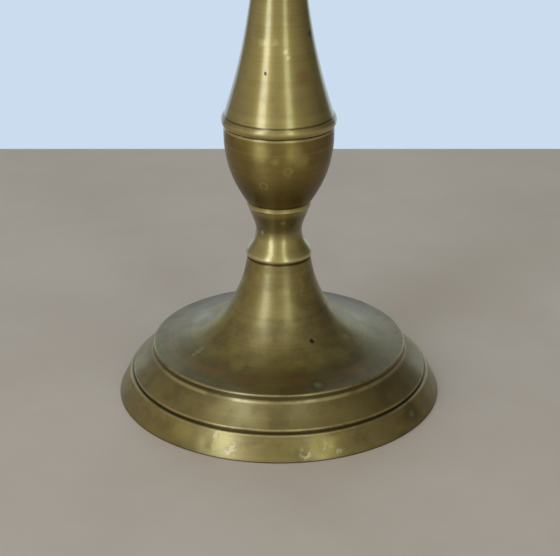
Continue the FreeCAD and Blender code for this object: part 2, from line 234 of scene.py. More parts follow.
# One node with its settings, values and links. Inputs go by socket name or number: on MapRange 0 is
# the value, 1 and 2 the range it comes from, 3 and 4 the range it goes to; on Mix 0 is the factor,
# 2 and 3 the two numbers, 6 and 7 the two colours.
def addNode(tree, kind, inputs, output=0, **settings):
    node = tree.nodes.new("ShaderNode" + kind)
    row, column = divmod(len(tree.nodes), nodeLayout["perRow"])
    node.location = (nodeLayout["across"] * column, -nodeLayout["down"] * row)
    for name, value in settings.items():
        setattr(node, name, value)
    for name, value in inputs.items():
        if isinstance(value, bpy.types.NodeSocket):
            tree.links.new(value, node.inputs[name])
        else:
            node.inputs[name].default_value = value
    return node.outputs[output] if node.outputs else node


patchRoughness = 0.6    # how much fine detail the edge of a patch has
ringCore = 0.3          # share of a ring's reach over which its mark has full strength


# size: width of a patch in millimetres; fade: the noise levels where it begins and is full
def patches(tree, coords, size, fade, strength=1.0, detail=4):
    noise = addNode(tree, "TexNoise", {"Vector": coords, "Scale": 1000 / (2 * size), "Detail": detail,
                                       "Roughness": patchRoughness})
    return addNode(tree, "MapRange", {0: noise, 1: fade[0], 2: fade[1], 4: strength},
                   interpolation_type="SMOOTHSTEP")


# places: ((x, y, z), reach) in millimetres; core: share of the reach that has full strength
def nearPlaces(tree, coords, places, strength=1.0, core=0.5):
    mask = 0.0
    for place, reach in places:
        gap = addNode(tree, "VectorMath", {0: coords, 1: Vector(place) / 1000}, 1, operation="DISTANCE")
        spot = addNode(tree, "MapRange", {0: gap, 1: mm(reach), 2: mm(reach * core), 4: strength},
                       interpolation_type="SMOOTHSTEP")
        mask = addNode(tree, "Math", {0: mask, 1: spot}, operation="MAXIMUM")
    return mask


# rings: (radius, height, reach, strength), or ("band", low, high, soft, strength), in millimetres
def nearRings(tree, section, rings):
    mask = 0.0
    for ring in rings:
        if ring[0] == "band":
            low, high, soft, strength = ring[1:]
            height = addNode(tree, "SeparateXYZ", {0: section}, "Z")
            rise = addNode(tree, "MapRange", {0: height, 1: mm(low - soft), 2: mm(low + soft),
                                              4: strength}, interpolation_type="SMOOTHSTEP")
            drop = addNode(tree, "MapRange", {0: height, 1: mm(high + soft), 2: mm(high - soft)},
                           interpolation_type="SMOOTHSTEP")
            part = addNode(tree, "Math", {0: rise, 1: drop}, operation="MULTIPLY")
        else:
            radius, height, reach, strength = ring
            gap = addNode(tree, "VectorMath", {0: section, 1: (mm(radius), 0, mm(height))}, 1,
                          operation="DISTANCE")
            part = addNode(tree, "MapRange", {0: gap, 1: mm(reach), 2: mm(reach * ringCore),
                                              4: strength}, interpolation_type="SMOOTHSTEP")
        mask = addNode(tree, "Math", {0: mask, 1: part}, operation="MAXIMUM")
    return mask


def layOver(tree, under, over, mask):  # one finish over another, as strong as the mask
    mixed = {"colour": addNode(tree, "Mix", {0: mask, 6: under["colour"], 7: over["colour"]}, 2,
                               data_type="RGBA")}
    for part in ("roughness", "metallic"):
        mixed[part] = addNode(tree, "Mix", {0: mask, 2: under[part], 3: over[part]})
    return mixed


# Old turned brass under a thin clear lacquer: yellow metal, satin from fine turning lines, with an
# uneven olive to brown tarnish. Painted shade darkens the recesses and seams over some real dark
# deposit, and the edges are rubbed bright with painted highlights laid on them.
brassFinishes = {
    # the rubbed bright tone, also laid along edges as painted highlights
    "rubbedAndHighlight": {"colour": "#d9cb8c", "roughness": 0.34, "metallic": 1.0},
    "olive": {"colour": "#bcac62", "roughness": 0.38, "metallic": 1.0},
    "brown": {"colour": "#9b8648", "roughness": 0.42, "metallic": 1.0},
    "footOlive": {"colour": "#a5955a", "roughness": 0.44, "metallic": 1.0},
    "footBrown": {"colour": "#857542", "roughness": 0.48, "metallic": 1.0},
    # the dark tarnish tone, also laid in recesses, seams and undersides as painted shade
    "bronzeTarnishAndShade": {"colour": "#4d3f20", "roughness": 0.46, "metallic": 1.0},
    "copper": {"colour": "#a07a45", "roughness": 0.42, "metallic": 1.0},
    "yellow": {"colour": "#b5a24c", "roughness": 0.36, "metallic": 1.0},
    "flaky": {"colour": "#cfbf88", "roughness": 0.50, "metallic": 0.95},
    "pit": {"colour": "#2c1d0e", "roughness": 0.80, "metallic": 0.5},
    "verdigris": {"colour": "#6a7448", "roughness": 0.85, "metallic": 0.1},
    "lime": {"colour": "#a3a28c", "roughness": 0.80, "metallic": 0.1},
}


# what the brass finishes share: sizes in millimetres, patterns per millimetre, and the noise levels
# between which a pattern fades in
brassDetail = {
    "wanderPerMm": 0.7, "wander": 1.8,              # how far the edges of spots stray
    "cloudFade": (0.30, 0.72),
    "mottleSize": 3.6, "mottleFade": (0.44, 0.66),
    "darkLineSize": 0.5, "darkLineFade": (0.42, 0.72), "darkLineDetail": 6,
    "brightLineSize": 0.8, "brightLineFade": (0.55, 0.72), "brightLineDetail": 5,
    "spotCore": 0.3,
    "wornSize": 5.0, "wornFade": (0.25, 0.60),
    "crumbSize": 1.1, "crumbFade": (0.46, 0.56), "peeling": 0.95, "peelingCore": 0.3,
    "waterRim": 0.32, "waterStrength": 0.26,
    "pitsPerMm": 0.21, "pitReach": (0.09, 0.04),    # pit size as a share of the space between pits
    "pitZoneSize": 6.0, "pitZoneFade": (0.54, 0.62), "pitStrength": 0.8,
    "verdigris": 0.7, "verdigrisCore": 0.1, "lime": 0.7, "limeCore": 0.2,
    "linesPerMm": 2.6, "grainPerMm": 1.5,           # turning lines, and the grain of worn lacquer
    "reliefDepth": 0.05, "pitDepth": 2.0, "crustHeight": 1.0,
    "alongTurning": 0.25,                           # streaks run round the piece, a quarter turn on
}


def finish(name):
    look = brassFinishes[name]
    return {"colour": fromHex(look["colour"]), "roughness": look["roughness"],
            "metallic": look["metallic"]}


def agedBrass(name, look):
    detail = brassDetail
    material = bpy.data.materials.new(name)
    material.use_nodes = True
    tree = material.node_tree
    tree.nodes.clear()
    coords = addNode(tree, "TexCoord", {}, "Object")
    x = addNode(tree, "SeparateXYZ", {0: coords}, "X")
    y = addNode(tree, "SeparateXYZ", {0: coords}, "Y")
    height = addNode(tree, "SeparateXYZ", {0: coords}, "Z")
    outwards = addNode(tree, "CombineXYZ", {0: x, 1: y})
    radius = addNode(tree, "VectorMath", {0: outwards}, 1, operation="LENGTH")
    section = addNode(tree, "CombineXYZ", {0: radius, 2: height})  # the same all the way round a ring
    wander = addNode(tree, "TexNoise", {"Vector": coords, "Scale": 1000 * detail["wanderPerMm"],
                                        "Detail": 3.0}, "Color")
    wander = addNode(tree, "VectorMath", {0: wander, 1: (0.5, 0.5, 0.5)}, operation="SUBTRACT")
    wander = addNode(tree, "VectorMath", {0: wander, "Scale": mm(detail["wander"])}, operation="SCALE")
    ragged = addNode(tree, "VectorMath", {0: coords, 1: wander}, operation="ADD")  # for uneven edges

    # tarnish in broad clouds, then the turning lines
    clouds = patches(tree, coords, look["cloudSize"], detail["cloudFade"], look["clouds"])
    surface = layOver(tree, finish(look["base"]), finish(look["tarnish"]), clouds)
    mottle = patches(tree, ragged, detail["mottleSize"], detail["mottleFade"], look["mottle"])
    surface = layOver(tree, surface, finish(look["mottleWith"]), mottle)
    darkLines = patches(tree, section, detail["darkLineSize"], detail["darkLineFade"], look["lineDark"],
                        detail["darkLineDetail"])
    surface = layOver(tree, surface, finish("bronzeTarnishAndShade"), darkLines)
    brightLines = patches(tree, section, detail["brightLineSize"], detail["brightLineFade"],
                          look["lineBright"], detail["brightLineDetail"])
    surface = layOver(tree, surface, finish("rubbedAndHighlight"), brightLines)

    # patches of another tone, some of them only in a zone, and single spots
    for kind, size, low, high, strength, zones in look["patches"]:
        mask = patches(tree, ragged, size, (low, high), strength)
        if zones:
            zone = nearRings(tree, section, zones)
            mask = addNode(tree, "Math", {0: mask, 1: zone}, operation="MULTIPLY")
        surface = layOver(tree, surface, finish(kind), mask)
    for kind, strength, places in look["spots"]:
        spots = nearPlaces(tree, ragged, places, strength, detail["spotCore"])
        surface = layOver(tree, surface, finish(kind), spots)

    # painted shade in recesses, seams, undersides and along the foot's bottom edge, over some real dark
    # deposit; painted highlights on edges that handling has also rubbed bright; and lacquer that peels
    # painted shade: dark rings and bands laid where shade falls
    surface = layOver(tree, surface, finish("bronzeTarnishAndShade"), nearRings(tree, section, look["dark"]))
    worn = patches(tree, ragged, detail["wornSize"], detail["wornFade"])
    # painted highlights: bright rings along the edges, kept to worn patches where the metal is also
    # rubbed
    edges = nearRings(tree, section, look["edges"])
    rubbedAndHighlit = addNode(tree, "Math", {0: worn, 1: edges}, operation="MULTIPLY")
    surface = layOver(tree, surface, finish("rubbedAndHighlight"), rubbedAndHighlit)
    crumbs = patches(tree, coords, detail["crumbSize"], detail["crumbFade"])
    peeling = nearPlaces(tree, ragged, look["flaky"], detail["peeling"], detail["peelingCore"])
    flakes = addNode(tree, "Math", {0: crumbs, 1: peeling}, operation="MULTIPLY")
    surface = layOver(tree, surface, finish("flaky"), flakes)

    # rings where drops of water dried
    for place, reach in look["waterMarks"]:
        gap = addNode(tree, "VectorMath", {0: ragged, 1: Vector(place) / 1000}, 1, operation="DISTANCE")
        rim = addNode(tree, "Math", {0: gap, 1: mm(reach), 2: mm(detail["waterRim"])},
                      operation="COMPARE")
        rim = addNode(tree, "Math", {0: rim, 1: detail["waterStrength"]}, operation="MULTIPLY")
        surface = layOver(tree, surface, finish("olive"), rim)

    # pits, verdigris and lime
    cells = addNode(tree, "TexVoronoi", {"Vector": ragged, "Scale": 1000 * detail["pitsPerMm"]},
                    "Distance")
    specks = addNode(tree, "MapRange", {0: cells, 1: detail["pitReach"][0], 2: detail["pitReach"][1]},
                     interpolation_type="SMOOTHSTEP")
    where = patches(tree, coords, detail["pitZoneSize"], detail["pitZoneFade"], detail["pitStrength"])
    specks = addNode(tree, "Math", {0: specks, 1: where}, operation="MULTIPLY")
    pits = nearPlaces(tree, ragged, look["pits"])
    pits = addNode(tree, "Math", {0: specks, 1: pits}, operation="MAXIMUM")
    surface = layOver(tree, surface, finish("pit"), pits)
    green = nearPlaces(tree, ragged, look["verdigris"], detail["verdigris"], detail["verdigrisCore"])
    surface = layOver(tree, surface, finish("verdigris"), green)
    pale = nearPlaces(tree, ragged, look["lime"], detail["lime"], detail["limeCore"])
    surface = layOver(tree, surface, finish("lime"), pale)

    # relief: turning lines with finer ones between them, grain, pits, and crumbly spots
    fineLines = addNode(tree, "TexNoise", {"Vector": section, "Scale": 1000 * detail["linesPerMm"],
                                           "Detail": 3.0})
    grain = addNode(tree, "TexNoise", {"Vector": coords, "Scale": 1000 * detail["grainPerMm"],
                                       "Detail": 4.0})
    relief = addNode(tree, "Math", {0: fineLines, 1: look["lineRelief"]}, operation="MULTIPLY")
    relief = addNode(tree, "Math", {0: grain, 1: look["grainRelief"], 2: relief},
                     operation="MULTIPLY_ADD")
    for mask, lift in ((pits, -detail["pitDepth"]), (flakes, detail["crustHeight"]),
                       (green, detail["crustHeight"])):
        relief = addNode(tree, "Math", {0: mask, 1: lift, 2: relief}, operation="MULTIPLY_ADD")
    bump = addNode(tree, "Bump", {"Height": relief, "Distance": mm(detail["reliefDepth"]),
                                  "Strength": 1.0})
    around = addNode(tree, "VectorMath", {0: (0, 0, 1), 1: outwards}, operation="CROSS_PRODUCT")
    shader = addNode(tree, "BsdfPrincipled", {
        "Base Color": surface["colour"], "Metallic": surface["metallic"],
        "Roughness": surface["roughness"], "Normal": bump, "Tangent": around,
        "Anisotropic": look["streaking"], "Anisotropic Rotation": detail["alongTurning"],
        "Coat Weight": look["lacquer"], "Coat Roughness": look["lacquerRoughness"]})
    addNode(tree, "OutputMaterial", {"Surface": shader})
    return material


# the foot: bevelled rim, ledge, cone, upright step and the long hollow curve to the neck
foot = {
    "rimLand": 52.4, "rimRound": 0.45, "rimSwell": 0.15,
    "bevelTop": (51.2, 7.9), "ledgeIn": (50.05, 7.9),
    "coneBase": (49.95, 9.0), "coneTop": (43.25, 15.6), "coneSag": 0.35, "coneSteps": 17,
    "ledgeRound": 0.30, "coneBaseRound": 0.18, "coneTopRound": 0.12, "discRound": 0.48,
    "discEdge": (43.05, 17.85), "fromDisc": (173.5, 21.4), "toNeck": (97.8, 17.6), "neckRadius": 10.6,
    "hubUnderside": 36.05, "insideRim": (48.65, 6.28), "insideDisc": (41.5, 15.01),
    "insideFromDisc": (173.5, 21.4), "insideNeck": (7.63, 48.64), "insideToNeck": (97.8, 18.4),
    "insideSpacing": 1.2, "hubCorner": (0.35, 0.3),
    "spacing": 0.55, "toolMarks": 0.004, "seed": 11, "steps": 320,
    "waves": {"size": 14, "depth": 0.05, "fromRadius": 7.0, "clearOfSeams": 0.9},
    "dents": [((-23.0, -48.0, 3.4), 3.2, 0.16), ((14.5, -51.0, 4.6), 4.0, 0.14),
              ((41.0, -33.5, 5.0), 2.6, 0.12), ((-50.3, 5.0, 7.9), 1.8, 0.20),
              ((10.9, -19.2, 25.7), 1.0, 0.10), ((-31.0, 40.0, 5.5), 3.0, 0.15)],
}


def makeFoot():
    space = foot["spacing"]
    neck = (foot["neckRadius"], footTop - fits["edgeBreak"])
    rim = [(foot["rimLand"], 0), (radiusOf("foot") + foot["rimSwell"], 0, foot["rimRound"])]
    bevel = linePoints(rim[-1], foot["bevelTop"], space)
    bevel[-1] += (foot["ledgeRound"],)
    ledge = [foot["ledgeIn"], foot["coneBase"] + (foot["coneBaseRound"],)]
    cone = bulgePoints(foot["coneBase"], foot["coneTop"], -foot["coneSag"], foot["coneSteps"])
    cone[-1] += (foot["coneTopRound"],)
    step = [foot["discEdge"] + (foot["discRound"],)]
    trumpet = curvePoints(foot["discEdge"], foot["fromDisc"], neck, foot["toNeck"], space)
    trumpet = toolMarked(trumpet, foot["toolMarks"], foot["seed"])
    collar = [(neck[0] - fits["edgeBreak"], footTop)] + recessPoints(footTop)
    collar += [(fits["boreRadius"], foot["hubUnderside"])]
    inner = [foot["insideDisc"]] + curvePoints(foot["insideDisc"], foot["insideFromDisc"],
                                               foot["insideNeck"], foot["insideToNeck"],
                                               foot["insideSpacing"])
    inner = [point for point in inner if point[1] < foot["hubUnderside"] - foot["hubCorner"][1]]
    hub = [(inner[-1][0] - foot["hubCorner"][0], foot["hubUnderside"])]
    outline = rim + bevel + ledge + cone + step + trumpet + collar + hub + inner[::-1]
    outline += [foot["insideRim"], rim[0]]
    piece = turnPiece("footShell", outline, foot["steps"])
    addWaves(piece, foot["waves"])
    pressIn(piece, foot["dents"])
    return piece


# the reel: small lip, waisted cove and a plain band under the bowl
reel = {
    "lipRadius": 11.0, "lipHeight": 1.5, "lipSwell": 0.28, "lipSteps": 6, "lipRound": 0.15,
    "waistRadius": 7.65, "waistHeight": 9.5,
    "flareFromLip": (100, 2.3), "flareToWaist": (90, 4.6),
    "coveHeight": 8.3, "coveFromWaist": (84, 2.6), "coveToBand": (72, 3.4),
    "bandRadius": 10.65, "bandRound": 0.1, "spacing": 0.4, "toolMarks": 0.003, "seed": 23, "steps": 224,
    "waves": {"size": 9, "depth": 0.03, "fromRadius": 7.0, "clearOfSeams": 0.5},
}


def makeReel():
    edge = fits["edgeBreak"]
    waist = (reel["waistRadius"], footTop + reel["waistHeight"])
    lip = (reel["lipRadius"], footTop + reel["lipHeight"])
    bandBase = waist[1] + reel["coveHeight"]
    seamPoint = (foot["neckRadius"] - edge, footTop)
    outline = [(fits["spigotRadius"], footTop), seamPoint]
    outline += bulgePoints(seamPoint, lip, reel["lipSwell"], reel["lipSteps"])
    outline[-1] += (reel["lipRound"],)
    body = curvePoints(lip, reel["flareFromLip"], waist, reel["flareToWaist"], reel["spacing"])
    body += curvePoints(waist, reel["coveFromWaist"], (reel["bandRadius"] - edge, bandBase),
                        reel["coveToBand"], reel["spacing"])
    outline += toolMarked(body, reel["toolMarks"], reel["seed"])
    outline += [(reel["bandRadius"], bandBase + edge, reel["bandRound"])]
    outline += linePoints(outline[-1], (reel["bandRadius"], reelTop - edge), reel["spacing"])
    outline += [(reel["bandRadius"] - edge, reelTop)] + recessPoints(reelTop)
    outline += spigotPoints(footTop) + [outline[0]]
    piece = turnPiece("reelKnop", outline, reel["steps"])
    addWaves(piece, reel["waves"])
    return piece


# the bowl: egg-shaped knop, widest under its upright collar
bowl = {
    "baseRadius": 11.0, "curveHeight": 23.5, "fromBase": (57, 9.2), "toCollar": (90, 9.4),
    "edgeBreak": 0.45, "edgeRound": 0.12, "mouthRadius": 15.05,
    "wall": 3.0, "floor": 4.5, "insideEvery": 3, "floorCorner": 2,
    "spacing": 0.45, "toolMarks": 0.004, "seed": 37, "steps": 288,
    "waves": {"size": 10, "depth": 0.05, "fromRadius": 7.0, "clearOfSeams": 0.8},
    "dents": [((15.2, -9.0, 84.0), 3.0, 0.10), ((-8.0, 15.4, 80.0), 3.4, 0.12)],
}


def makeBowl():
    radius = radiusOf("acorn_bowl")
    base = (bowl["baseRadius"], reelTop)
    collar = (radius, reelTop + bowl["curveHeight"])
    body = curvePoints(base, bowl["fromBase"], collar, bowl["toCollar"], bowl["spacing"])
    body += linePoints(collar, (radius, bowlTop - bowl["edgeBreak"]), bowl["spacing"])
    body = toolMarked(body, bowl["toolMarks"], bowl["seed"])
    body[-1] += (bowl["edgeRound"],)
    floorHeight = reelTop + bowl["floor"]
    inside = [(point[0] - bowl["wall"], point[1]) for point in body[::bowl["insideEvery"]]
              if point[1] > floorHeight + bowl["floorCorner"]]
    outline = [(fits["spigotRadius"], reelTop), base] + body
    outline += [(radius - bowl["edgeBreak"], bowlTop), (bowl["mouthRadius"], bowlTop)]
    outline += inside[::-1][1:]
    outline += [(fits["boreRadius"], floorHeight)] + spigotPoints(reelTop) + [outline[0]]
    piece = turnPiece("acornBowl", outline, bowl["steps"])
    addWaves(piece, bowl["waves"])
    pressIn(piece, bowl["dents"])
    return piece


# the stem: half-round bead, groove, long hollow taper, then a flared lip
stem = {
    "bowlRadius": 18.05, "beadShoulder": 18.3, "beadHeight": 2.95, "beadSwell": 0.5, "beadSteps": 12,
    "grooveRadius": 17.85, "grooveHeight": 0.35, "taperHeight": 61.9,
    "fromGroove": (108.3, 20.7), "toNeck": (88, 20.5), "neckRadius": 8.0,
    "flareHeight": 9.0, "flareFromNeck": (90, 4.0), "flareToLip": (75, 3.0),
    "lipRadius": 10.2, "lipRound": 0.15, "registerRadius": 15.0, "registerLength": 2.5,
    "wall": 2.6, "hollowTop": 16.0, "insideEvery": 5, "hollowCorner": 1, "leastHollow": 5,
    "spacing": 0.5, "toolMarks": 0.005, "seed": 53, "steps": 288,
    "waves": {"size": 12, "depth": 0.05, "fromRadius": 7.0, "clearOfSeams": 0.6},
    "dents": [((-4.3, -12.4, 114.4), 0.8, 0.08), ((9.0, 8.0, 125.0), 3.0, 0.14)],
}


def makeStem():
    edge = fits["edgeBreak"]
    beadBase = bowlTop + edge
    beadTop = beadBase + stem["beadHeight"]
    groove = (stem["grooveRadius"], beadTop + stem["grooveHeight"])
    neck = (stem["neckRadius"], groove[1] + stem["taperHeight"])
    lip = (stem["lipRadius"], neck[1] + stem["flareHeight"])
    registerBase = bowlTop - stem["registerLength"]
    shoulder = (stem["beadShoulder"], beadBase)
    outline = [(stem["registerRadius"], bowlTop), (stem["bowlRadius"] - edge, bowlTop), shoulder]
    outline += bulgePoints(shoulder, (stem["beadShoulder"], beadTop), stem["beadSwell"],
                           stem["beadSteps"])
    taper = [groove] + curvePoints(groove, stem["fromGroove"], neck, stem["toNeck"], stem["spacing"])
    taper += curvePoints(neck, stem["flareFromNeck"], lip, stem["flareToLip"], stem["spacing"])
    outline += toolMarked(taper, stem["toolMarks"], stem["seed"])
    outline[-1] += (stem["lipRound"],)
    outline += [(stem["lipRadius"], stemTop - edge), (stem["lipRadius"] - edge, stemTop)]
    outline += recessPoints(stemTop) + [(fits["boreRadius"], stemTop - stem["hollowTop"])]
    inside = [(point[0] - stem["wall"], point[1]) for point in taper[::stem["insideEvery"]]
              if point[1] < stemTop - stem["hollowTop"] - stem["hollowCorner"]
              and point[0] - stem["wall"] > stem["leastHollow"]]
    outline += inside[::-1]
    outline += [(stem["registerRadius"] - stem["wall"], bowlTop + stem["hollowCorner"]),
                (stem["registerRadius"] - stem["wall"], registerBase),
                (stem["registerRadius"], registerBase), outline[0]]
    piece = turnPiece("taperedStem", outline, stem["steps"])
    addWaves(piece, stem["waves"])
    pressIn(piece, stem["dents"])
    return piece


# the ring knop: one full round between two fillets
ring = {
    "filletRadius": 9.6, "filletHeight": 1.3, "shoulder": 10.0, "roundRadius": 13.2,
    "spacing": 0.4, "toolMarks": 0.003, "seed": 67, "steps": 224,
    "waves": {"size": 9, "depth": 0.03, "fromRadius": 7.0, "clearOfSeams": 0.5},
}


def makeRing():
    edge = fits["edgeBreak"]
    low = (ring["shoulder"], stemTop + ring["filletHeight"])
    high = (ring["shoulder"], ringTop - ring["filletHeight"])
    half = (high[1] - low[1]) / 2
    rise = ring["roundRadius"] - ring["shoulder"]
    arcRadius = (half * half + rise * rise) / (2 * rise)
    centre = ring["roundRadius"] - arcRadius
    widest = math.asin(half / arcRadius)
    turns = round(2 * widest * arcRadius / ring["spacing"])
    angles = [widest * (2 * step / turns - 1) for step in range(turns + 1)]
    body = [(centre + arcRadius * math.cos(angle), low[1] + half + arcRadius * math.sin(angle))
            for angle in angles]
    outline = [(fits["spigotRadius"], stemTop), (ring["filletRadius"] - edge, stemTop),
               (ring["filletRadius"], stemTop + edge), (ring["filletRadius"], low[1])]
    outline += toolMarked(body, ring["toolMarks"], ring["seed"])
    outline += [(ring["filletRadius"], high[1]), (ring["filletRadius"], ringTop - edge),
                (ring["filletRadius"] - edge, ringTop)]
    outline += recessPoints(ringTop) + spigotPoints(stemTop) + [outline[0]]
    piece = turnPiece("neckRingKnop", outline, ring["steps"])
    addWaves(piece, ring["waves"])
    return piece


# the stalk: a short waisted neck that spreads to a seat for the pan
stalk = {
    "footRadius": 9.0, "waistRadius": 6.9, "waistShare": 0.4, "coveHeight": 10.6, "seatHeight": 1.6,
    "fromFoot": (110, 1.6), "toWaist": (90, 1.8), "fromWaist": (90, 3.2), "toSeat": (40, 3.2),
    "seatRadius": 12.4, "seatRound": 0.1, "spacing": 0.4, "toolMarks": 0.003, "seed": 71, "steps": 224,
    "waves": {"size": 9, "depth": 0.03, "fromRadius": 6.6, "clearOfSeams": 0.5},
}


def makeStalk():
    edge = fits["edgeBreak"]
    start = (stalk["footRadius"], ringTop + edge)
    waist = (stalk["waistRadius"], ringTop + stalk["waistShare"] * stalk["coveHeight"])
    seatBase = stalkTop - stalk["seatHeight"]
    body = [start] + curvePoints(start, stalk["fromFoot"], waist, stalk["toWaist"], stalk["spacing"])
    body += curvePoints(waist, stalk["fromWaist"], (stalk["seatRadius"] - edge, seatBase),
                        stalk["toSeat"], stalk["spacing"])
    outline = [(fits["spigotRadius"], ringTop), (stalk["footRadius"] - edge, ringTop)]
    outline += toolMarked(body, stalk["toolMarks"], stalk["seed"])
    outline += [(stalk["seatRadius"], seatBase + edge, stalk["seatRound"]),
                (stalk["seatRadius"], stalkTop - edge), (stalk["seatRadius"] - edge, stalkTop)]
    outline += recessPoints(stalkTop) + spigotPoints(ringTop) + [outline[0]]
    piece = turnPiece("panStalk", outline, stalk["steps"])
    addWaves(piece, stalk["waves"])
    return piece


# the drip pan: spun dish with a beaded rim
pan = {
    "sheet": 1.6, "depth": 5.6, "floorRadius": 23.0, "beadRadius": 1.3, "beadSteps": 12,
    "rimHollow": 0.25, "rimSteps": 5,
    "fromFloor": (0, 4.2), "toRim": (90, 3.6), "fromBead": (-90, 3.4), "toDish": (180, 3.4),
    "undersideSpacing": 2.0, "floorSpacing": 0.8, "spacing": 0.6,
    "toolMarks": 0.005, "seed": 83, "steps": 288,
    "waves": {"size": 13, "depth": 0.06, "fromRadius": 13.0, "clearOfSeams": 0.05},
    "dents": [((27.0, -12.0, 196.5), 4.0, 0.16), ((-20.0, 21.0, 196.5), 4.5, 0.18)],
}


def makePan():
    floorTop = stalkTop + pan["sheet"]
    rimTop = floorTop + pan["depth"]
    rimBase = rimTop - 2 * pan["beadRadius"]
    outer = radiusOf("drip_pan") - pan["beadRadius"]
    inner = outer - pan["sheet"]
    underside = linePoints((fits["recessRadius"], stalkTop), (pan["floorRadius"], stalkTop),
                           pan["undersideSpacing"])
    underside += curvePoints(underside[-1], pan["fromFloor"], (outer, rimBase), pan["toRim"],
                             pan["spacing"])
    bead = halfRound((outer, rimBase), pan["beadRadius"], pan["beadSteps"])
    top = bulgePoints(bead[-1], (inner, rimTop - pan["beadRadius"]), -pan["rimHollow"], pan["rimSteps"])
    dish = curvePoints(top[-1], pan["fromBead"], (pan["floorRadius"], floorTop), pan["toDish"],
                       pan["spacing"])
    dish += linePoints(dish[-1], (fits["recessRadius"], floorTop), pan["floorSpacing"])
    outline = [(fits["recessRadius"], stalkTop)] + underside + bead + top
    outline += toolMarked(dish, pan["toolMarks"], pan["seed"]) + [(fits["recessRadius"], stalkTop)]
    piece = turnPiece("dripPan", outline, pan["steps"])
    addWaves(piece, pan["waves"])
    pressIn(piece, pan["dents"])
    return piece


# the candle cup: small foot, waist, swelling belly and an upright lip
cup = {
    "footRadius": 11.2, "footHeight": 1.6, "footRound": 0.5, "footSwell": 0.38, "footSteps": 8,
    "waistRadius": 9.4, "waistHeight": 4.8,
    "bellyHeight": 12.6, "radius": 15.48, "boreRadius": 12.58, "depth": 29.0,
    "fromFoot": (120, 1.2), "toWaist": (90, 1.2), "fromWaist": (30, 4.0), "toBelly": (90, 4.4),
    "lipHeight": 2.4, "lipRound": 0.3, "lipSteps": 10, "mouthRound": 0.12,
    "spacing": 0.5, "toolMarks": 0.004, "seed": 97, "steps": 256,
    "waves": {"size": 10, "depth": 0.04, "fromRadius": 13.2, "clearOfSeams": 0.4},
}


def makeCup():
    edge = fits["edgeBreak"]
    base = stalkTop + pan["sheet"]
    start = (cup["footRadius"] - edge, base)
    footEdge = (cup["footRadius"] - cup["footRound"], base + cup["footHeight"])
    waist = (cup["waistRadius"], base + cup["waistHeight"])
    belly = (cup["radius"], base + cup["bellyHeight"])
    lipBase = cupTop - cup["lipHeight"]
    lipRadius = radiusOf("candle_cup")
    outline = [(fits["spigotRadius"], base), start]
    outline += bulgePoints(start, footEdge, cup["footSwell"], cup["footSteps"])
    body = curvePoints(footEdge, cup["fromFoot"], waist, cup["toWaist"], cup["spacing"])
    body += curvePoints(waist, cup["fromWaist"], belly, cup["toBelly"], cup["spacing"])
    body += linePoints(belly, (cup["radius"], lipBase), cup["spacing"])
    outline += toolMarked(body, cup["toolMarks"], cup["seed"])
    lip = (lipRadius - cup["lipRound"], lipBase)
    outline += [lip] + bulgePoints(lip, (lip[0], cupTop), cup["lipRound"], cup["lipSteps"])
    outline += [(cup["boreRadius"], cupTop, cup["mouthRound"]),
                (cup["boreRadius"], cupTop - cup["depth"]), (fits["boreRadius"], cupTop - cup["depth"])]
    outline += spigotPoints(stalkTop) + [outline[0]]
    piece = turnPiece("candleCup", outline, cup["steps"])
    addWaves(piece, cup["waves"])
    return piece


# the nozzle: a loose tube with a turned-up flange that lifts out of the cup
nozzle = {
    "tubeRadius": 12.5, "boreRadius": 11.2, "floor": 1.5, "length": 21.5, "chamfer": 0.5,
    "seatRadius": 15.48, "sheet": 1.6, "rise": 2.0, "fromCup": (0, 1.6), "toEdge": (60, 1.2),
    "backFromEdge": (235, 1.4), "backToMouth": (180, 1.6), "edgeSteps": 10, "mouthRound": 0.2,
    "spacing": 0.45, "toolMarks": 0.003, "seed": 101, "steps": 256,
    "waves": {"size": 9, "depth": 0.04, "fromRadius": 15.8, "clearOfSeams": 0.3},
}


def makeNozzle():
    bottom = cupTop - nozzle["length"]
    mouth = cupTop + nozzle["sheet"]
    edgeRound = nozzle["sheet"] / 2
    edgeRadius = radiusOf("candle_nozzle") - edgeRound
    edgeBase = cupTop + nozzle["rise"]
    outline = [(0, bottom), (nozzle["tubeRadius"], bottom, nozzle["chamfer"]),
               (nozzle["tubeRadius"], cupTop), (nozzle["seatRadius"], cupTop)]
    outline += curvePoints(outline[-1], nozzle["fromCup"], (edgeRadius, edgeBase), nozzle["toEdge"],
                           nozzle["spacing"])
    outline += halfRound((edgeRadius, edgeBase), edgeRound, nozzle["edgeSteps"])
    body = curvePoints(outline[-1], nozzle["backFromEdge"],
                       (nozzle["seatRadius"] - nozzle["chamfer"], mouth),
                       nozzle["backToMouth"], nozzle["spacing"])
    body += linePoints(body[-1], (nozzle["boreRadius"] + nozzle["chamfer"], mouth), nozzle["spacing"])
    outline += toolMarked(body, nozzle["toolMarks"], nozzle["seed"])
    outline += [(nozzle["boreRadius"], mouth - nozzle["chamfer"], nozzle["mouthRound"]),
                (nozzle["boreRadius"], bottom + nozzle["floor"]), (0, bottom + nozzle["floor"])]
    piece = turnPiece("candleNozzle", outline, nozzle["steps"])
    addWaves(piece, nozzle["waves"])
    return piece
